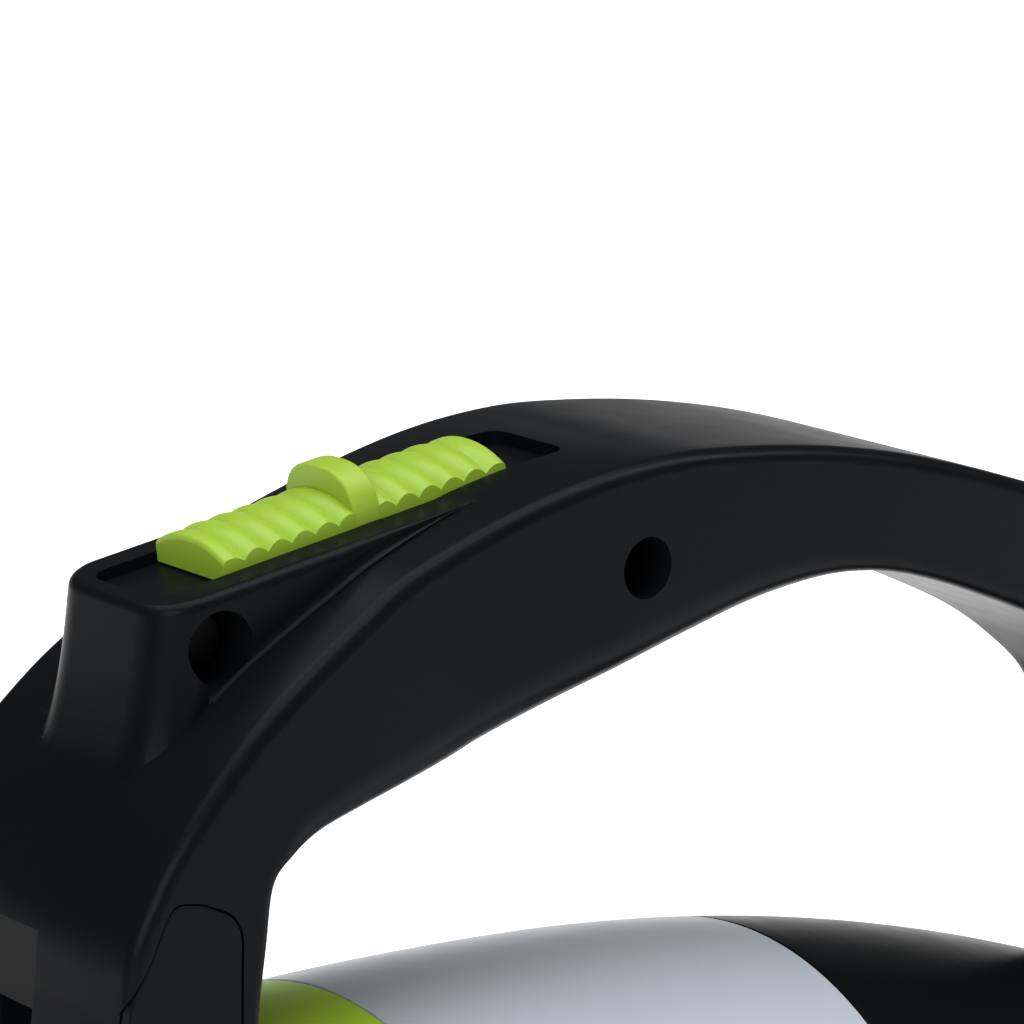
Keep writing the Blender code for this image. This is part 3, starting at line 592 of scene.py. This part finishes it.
def slider_stations():
    """Places along the slider, close together and with one on every groove."""
    half = SLIDER_HALF[0]
    marks = [FIRST_GROOVE + k * RIB_PITCH for k in range(GROOVES)]
    stations = {0.0, half - 0.08, half - 0.22, half - 0.55}
    spans = list(zip([0.0] + marks, marks + [half]))
    for low, high in spans:
        for k in range(1, 13):
            stations.add(round(low + (high - low) * k / 12, 4))
    return sorted({-s for s in stations} | stations)


def slider():
    """Lime thumb slider: scalloped ribs, smooth end lobes and a rounded fin."""
    half_u, half_v = SLIDER_HALF
    base, across = -POCKET_DEPTH + SLIDER_GAP, 28
    loops = []
    for u in slider_stations():
        loop = [(u, -half_v, base), (u, half_v, base)]
        for k in range(across + 1):
            v = half_v * (1 - 2 * k / across)
            loop.append((u, v, slider_top(u, v)))
        loops.append(loop)
    body = to_object("slider", loft(loops), BOSS)
    outline = []
    for k in range(33):
        turn = math.pi * k / 32
        v = (half_v + 0.15) * math.copysign(abs(math.cos(turn)) ** (2 / FIN_POWER), math.cos(turn))
        outline.append((v, FIN_TOP * math.sin(turn) ** (2 / FIN_POWER)))
    fin = loft([[(u, v, w) for v, w in outline] for u in (-FIN_HALF, FIN_HALF)])
    rim = [e for e in fin.edges if abs(e.verts[0].co.x - e.verts[1].co.x) < 0.1
           and max(v.co.z for v in e.verts) > 0.01]
    bmesh.ops.bevel(fin, geom=rim, offset=0.5, segments=3, affect="EDGES", profile=0.5)
    combine(body, fin, "UNION", BOSS)
    stem = slab(rounded((-5, -2.6), (5, 2.6), 1), -15, 0)
    combine(body, stem, "UNION", BOSS)
    body.name = "thumb_slider"
    finish_piece(body, "switch_slider", "lime_plastic", LIME, "switch_slider", angle=38)


# ---- barrel ------------------------------------------------------------------------
def barrel_radius(x):
    """Outer radius of the barrel along its axis: it narrows faster to the rear."""
    bend = BARREL_BEND_REAR if x > BARREL_CREST else BARREL_BEND_FRONT
    return BARREL_R - bend * (x - BARREL_CREST) ** 2


def barrel_band(name, low, high, wall, slot, material, node, edge):
    """One band of the barrel with small rounded edges."""
    steps = max(4, int((high - low) / 4))
    outer = [(x, barrel_radius(x)) for x in (low + (high - low) * k / steps
                                             for k in range(steps + 1))]
    inner = [(high, outer[-1][1] - wall), (low, outer[0][1] - wall)]
    band = to_object(name, turned(soften(outer + inner, edge), 128), SHAFT)
    finish_piece(band, "shaft", slot, material, node)


def barrel():
    # The collar wears the lighter copy of the lime, whose extra brightness is painted light.
    barrel_band("collar_band", *RING, 6, "lime_plastic", LIME_PAINTED_BRIGHTER, "collar_ring", 0.4)
    barrel_band("sleeve_shell", *SLEEVE, 3, "silver_plastic", SILVER, "barrel_sleeve", 0.35)
    low, high = TAIL
    outer = [(x, barrel_radius(x)) for x in (low + (high - low) * k / 24 for k in range(25))]
    rim = outer[-1][1]
    outer = outer[:-1] + [(high - 1.2, rim), (high - 0.3, rim - 0.6), (high, rim - 2)]
    inner = [(high, 0), (high - 3, 0), (high - 3, rim - 5), (low, outer[0][1] - 3)]
    tail = to_object("tail_dome", turned(soften(outer + inner, 0.3, 2), 128), SHAFT)
    finish_piece(tail, "shaft", "black_plastic", BLACK, "barrel_tail")


# ---- finishes of the CAD nodes that keep their shape ---------------------------------
FINISHES = {
    "black_plastic": BLACK, "dark_plastic": DARK, "lime_plastic": LIME,
    "silver_plastic": SILVER, "steel": STEEL, "tube_alloy": ALLOY, "rubber": RUBBER,
    "copper": COPPER, "cell_wrap": CELL, "board": BOARD, "motor_iron": IRON,
}


def finish_cad_nodes():
    """Materials and small rounded edges for the nodes that stay."""
    slots = {row["node"]: row["material_slot"] for row in frame["record"]["subparts"]}
    for name, obj in frame["nodes"].items():
        obj.data.materials.clear()
        obj.data.materials.append(BLACKED if "screw" in name else FINISHES[slots[name]])
        if not obj.hide_render:
            weld = obj.modifiers.new("weld", "WELD")
            weld.merge_threshold = 0.01 * MM
            bevel(obj, 0.6, 40, 2)
            smooth(obj, 35)


# ---- stage ---------------------------------------------------------------------------
def area_light(name, at, aim, size, power):
    data = bpy.data.lights.new(name, "AREA")
    data.shape = "RECTANGLE"
    data.size, data.size_y = size
    data.energy = power
    light = bpy.data.objects.new(name, data)
    bpy.context.scene.collection.objects.link(light)
    light.location = at
    light.rotation_euler = (Vector(aim) - Vector(at)).to_track_quat("-Z", "Y").to_euler()


def world():
    """Studio surround: white at the horizon, dim overhead."""
    surround = bpy.data.worlds.new("surround")
    bpy.context.scene.world = surround
    surround.use_nodes = True
    tree = surround.node_tree
    coords = tree.nodes.new("ShaderNodeTexCoord")
    split = tree.nodes.new("ShaderNodeSeparateXYZ")
    ramp = tree.nodes.new("ShaderNodeValToRGB")
    tree.links.new(coords.outputs["Generated"], split.inputs["Vector"])
    tree.links.new(split.outputs["Z"], ramp.inputs["Fac"])
    low, high = ramp.color_ramp.elements
    low.position, low.color = 0.03, (0.9, 0.9, 0.9, 1)
    high.position, high.color = 0.14, (0.09, 0.092, 0.095, 1)
    tree.links.new(ramp.outputs["Color"], tree.nodes["Background"].inputs["Color"])


def stage():
    floor_bm = bmesh.new()
    bmesh.ops.create_grid(floor_bm, x_segments=1, y_segments=1, size=40000)
    floor = to_object("floor", floor_bm)
    material, tree, shader, coords = new_material("pale_floor")
    tone = tinted(tree, noise(tree, coords, 700, 2), (0.87, 0.87, 0.87), (0.9, 0.9, 0.9))
    tree.links.new(tone, shader.inputs["Base Color"])
    shader.inputs["Roughness"].default_value = 0.9
    shader.inputs["Specular IOR Level"].default_value = 0.1
    shader.inputs["Emission Color"].default_value = (1, 1, 1, 1)
    shader.inputs["Emission Strength"].default_value = 0.35
    floor.data.materials.append(material)
    world()
    datum = HANDLE.translation * MM
    area_light("overhead", (0.2, 0.4, 3.2), (0, 0.2, 0), (3.2, 3.2), 125)
    area_light("edge_strip", (2.2, -0.9, 2.6), datum, (1.0, 2.2), 45)
    area_light("front_fill", (-2.2, -1.7, 1.9), datum, (2.2, 2.2), 75)


def camera():
    """Close view of the power head from its -Y side and front, a little above."""
    data = bpy.data.cameras.new("camera")
    data.lens, data.sensor_width = CAMERA_LENS, 36
    data.clip_start, data.clip_end = 0.02, 200
    cam = bpy.data.objects.new("camera", data)
    bpy.context.scene.collection.objects.link(cam)
    across = math.cos(CAMERA_ELEVATION)
    look = Vector((math.sin(CAMERA_AZIMUTH) * across,
                   math.cos(CAMERA_AZIMUTH) * across, -math.sin(CAMERA_ELEVATION)))
    cam.location = Matrix.Scale(MM, 4) @ HANDLE @ Vector(CAMERA_AT)
    cam.rotation_euler = look.to_track_quat("-Z", "Y").to_euler()
    bpy.context.scene.camera = cam


handle()
slider()
barrel()
finish_cad_nodes()
stage()
camera()
bpy.context.scene.view_settings.view_transform = "Standard"
